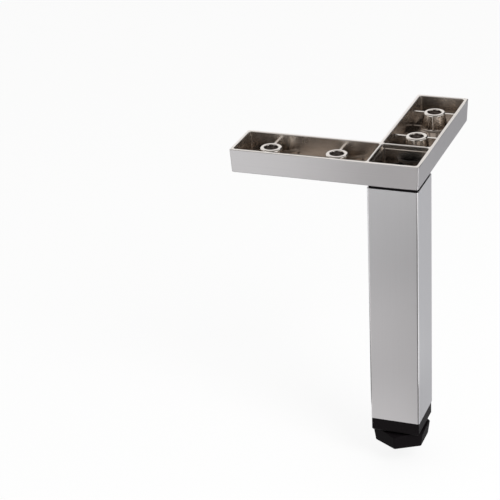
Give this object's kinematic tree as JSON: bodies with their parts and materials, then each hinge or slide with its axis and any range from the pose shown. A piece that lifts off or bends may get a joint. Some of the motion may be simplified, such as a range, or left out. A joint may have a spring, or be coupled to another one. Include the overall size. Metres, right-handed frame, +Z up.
{
  "type": "sofa leg",
  "caption": "Square metal furniture leg with an open L-shaped die-cast mounting tray on top and a screw-adjusted black hexagon foot.",
  "frame": {"origin": "centre of the foot's sole, on the post's axis, with the foot screwed in", "axes": "+Z up along the post to the mounting rim, -X along one arm of the tray, +Y along the other"},
  "size_m": [0.1127, 0.1145, 0.1848],
  "materials": {
    "nickel_casting": "satin nickel plate on a zinc die casting, brushed outside, as cast inside",
    "nickel_tube": "satin nickel plate on brushed steel tube",
    "zinc_plated_steel": "bright zinc plate",
    "black_oxide_steel": "black oxide on steel, lightly oiled",
    "black_nylon": "moulded, fine matt grain"
  },
  "bodies": {
    "leg": {"mounting_bracket": "nickel_casting", "bracket_bolt": "black_oxide_steel", "bolt_washer": "zinc_plated_steel", "top_insert": "black_nylon", "top_insert_nut": "zinc_plated_steel", "post_tube": "nickel_tube", "foot_insert": "black_nylon", "foot_insert_nut": "zinc_plated_steel"},
    "stud": {"foot_stud": "zinc_plated_steel"},
    "foot": {"foot_base": "black_nylon"}
  },
  "joints": [
    {"name": "foot_height", "type": "slide", "parent": "leg", "child": "stud", "axis": [0, 0, -1], "range_m": [0, 0.012]},
    {"name": "foot_turn", "type": "hinge", "parent": "stud", "child": "foot", "pos_m": [0, 0, 0], "axis": [0, 0, -1], "range_deg": [0, 2880]}
  ],
  "couplings": [
    {"joint": "foot_turn", "follows": "foot_height", "rad_per_m": 4188.8}
  ]
}
